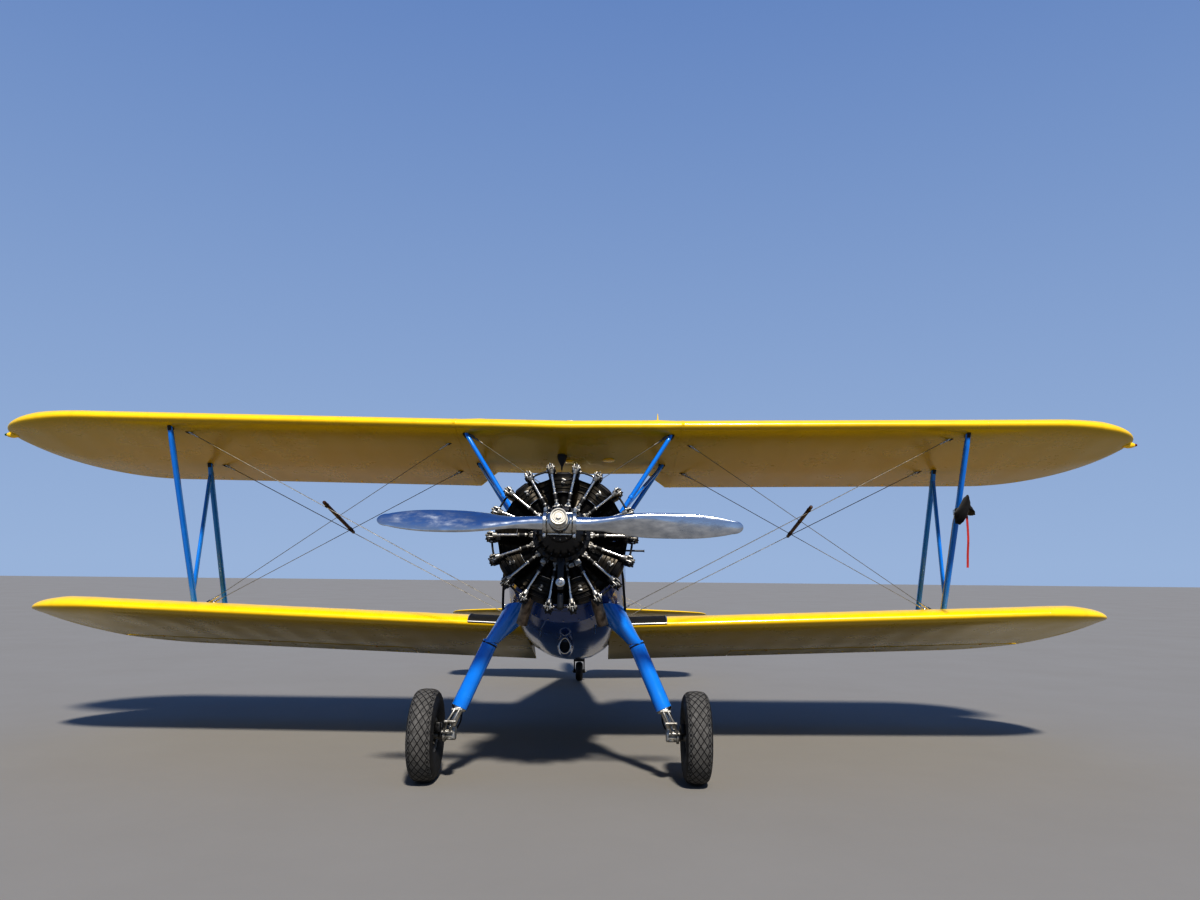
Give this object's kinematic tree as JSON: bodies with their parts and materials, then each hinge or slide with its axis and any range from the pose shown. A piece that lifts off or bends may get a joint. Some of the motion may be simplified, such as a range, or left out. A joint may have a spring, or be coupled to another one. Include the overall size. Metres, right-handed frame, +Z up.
{
  "type": "two-seat open-cockpit biplane trainer",
  "caption": "Open-cockpit biplane trainer with a radial engine, turning propeller and wheels, steering tailwheel and hinged ailerons, rudder and elevators.",
  "frame": {"origin": "on the floor under the middle of the whole aircraft, which stands on its wheels", "axes": "+X to the pilots' left along the span, +Y aft, +Z up; the nose is towards -Y"},
  "size_m": [9.836, 7.576, 2.8196],
  "materials": {
    "wing_fabric": "doped fabric, glossy yellow",
    "fuselage_fabric": "doped fabric, glossy dark blue",
    "fuselage_metal": "painted sheet, glossy dark blue",
    "strut_paint": "bright blue enamel",
    "wire_steel": "streamlined steel wire",
    "engine_iron": "black enamelled cylinders",
    "engine_alloy": "cast and polished alloy",
    "exhaust_steel": "heat-stained steel",
    "propeller_alloy": "polished alloy",
    "tyre_rubber": "black rubber with a diamond tread",
    "wheel_alloy": "grey painted alloy",
    "gear_steel": "polished steel",
    "cockpit_metal": "painted seat and fittings",
    "panel_black": "matt black",
    "shield_glass": "clear sheet",
    "lamp_glass": "lamp cover",
    "spreader_wood": "varnished wood",
    "black_steel": "black enamel",
    "cover_cloth": "black woven cloth"
  },
  "bodies": {
    "airframe": {"fuselage_aft": "fuselage_fabric", "fuselage_forward": "fuselage_metal", "accessory_cowl": "fuselage_metal", "belly_scoop": "fuselage_metal", "instrument_panel_front": "panel_black", "instrument_panel_rear": "panel_black", "seat_front": "cockpit_metal", "seat_rear": "cockpit_metal", "windshield_front": "shield_glass", "windshield_rear": "shield_glass", "upper_centre_section": "wing_fabric", "upper_wing_left": "wing_fabric", "upper_wing_right": "wing_fabric", "lower_wing_left": "wing_fabric", "lower_wing_right": "wing_fabric", "tailplane_left": "wing_fabric", "tailplane_right": "wing_fabric", "fin": "wing_fabric", "tip_light_left": "lamp_glass", "tip_light_right": "lamp_glass", "cabane_struts_left": "strut_paint", "cabane_struts_right": "strut_paint", "interplane_struts_left": "strut_paint", "interplane_struts_right": "strut_paint", "gear_leg_left": "strut_paint", "gear_leg_right": "strut_paint", "flying_wire_front_left": "wire_steel", "flying_wire_front_right": "wire_steel", "flying_wire_rear_left": "wire_steel", "flying_wire_rear_right": "wire_steel", "landing_wire_front_left": "wire_steel", "landing_wire_front_right": "wire_steel", "landing_wire_rear_left": "wire_steel", "landing_wire_rear_right": "wire_steel", "wire_spreader_left": "spreader_wood", "wire_spreader_right": "spreader_wood", "engine_power_section": "engine_iron", "engine_nose": "engine_alloy", "exhaust_collector": "exhaust_steel", "axle_left": "gear_steel", "axle_right": "gear_steel", "pitot_head": "gear_steel", "tailwheel_bracket": "black_steel", "pitot_cover": "cover_cloth"},
    "propeller": {"propeller_hub": "propeller_alloy", "propeller_blade_left": "propeller_alloy", "propeller_blade_right": "propeller_alloy"},
    "wheel_left": {"tyre_left": "tyre_rubber", "wheel_left": "wheel_alloy"},
    "wheel_right": {"tyre_right": "tyre_rubber", "wheel_right": "wheel_alloy"},
    "tailwheel_fork": {"tailwheel_fork": "black_steel"},
    "tailwheel": {"tailwheel_tyre": "tyre_rubber", "tailwheel_hub": "wheel_alloy"},
    "rudder": {"rudder": "wing_fabric"},
    "elevators": {"elevators": "wing_fabric"},
    "aileron_left": {"aileron_left": "wing_fabric"},
    "aileron_right": {"aileron_right": "wing_fabric"}
  },
  "joints": [
    {"name": "propeller_spin", "type": "hinge", "parent": "airframe", "child": "propeller", "pos_m": [0, -3.57621, 1.85], "axis": [0, 0.9802, -0.1982], "continuous": true},
    {"name": "wheel_left_spin", "type": "hinge", "parent": "airframe", "child": "wheel_left", "pos_m": [0.988, -2.90021, 0.32718], "axis": [1, 0, 0], "continuous": true},
    {"name": "wheel_right_spin", "type": "hinge", "parent": "airframe", "child": "wheel_right", "pos_m": [-0.988, -2.90021, 0.32718], "axis": [1, 0, 0], "continuous": true},
    {"name": "tailwheel_swivel", "type": "hinge", "parent": "airframe", "child": "tailwheel_fork", "pos_m": [0, 2.63379, 0.3], "axis": [0, 0, 1], "range_deg": [-30, 30]},
    {"name": "tailwheel_spin", "type": "hinge", "parent": "tailwheel_fork", "child": "tailwheel", "pos_m": [0, 2.69379, 0.12393], "axis": [1, 0, 0], "continuous": true},
    {"name": "rudder_hinge", "type": "hinge", "parent": "airframe", "child": "rudder", "pos_m": [0, 3.04589, 1.02126], "axis": [0, 0.1982, 0.9802], "range_deg": [-30, 30]},
    {"name": "elevator_hinge", "type": "hinge", "parent": "airframe", "child": "elevators", "pos_m": [0, 2.85136, 0.84124], "axis": [1, 0, 0], "range_deg": [-21, 28]},
    {"name": "aileron_left_hinge", "type": "hinge", "parent": "airframe", "child": "aileron_left", "pos_m": [2.95, -0.70762, 0.82762], "axis": [0.9993, 0.0072, 0.0356], "range_deg": [-20, 20]},
    {"name": "aileron_right_hinge", "type": "hinge", "parent": "airframe", "child": "aileron_right", "pos_m": [-2.95, -0.70762, 0.82762], "axis": [0.9993, -0.0072, -0.0356], "range_deg": [-20, 20]}
  ],
  "couplings": [
    {"joint": "aileron_right_hinge", "follows": "aileron_left_hinge", "ratio": -1}
  ]
}
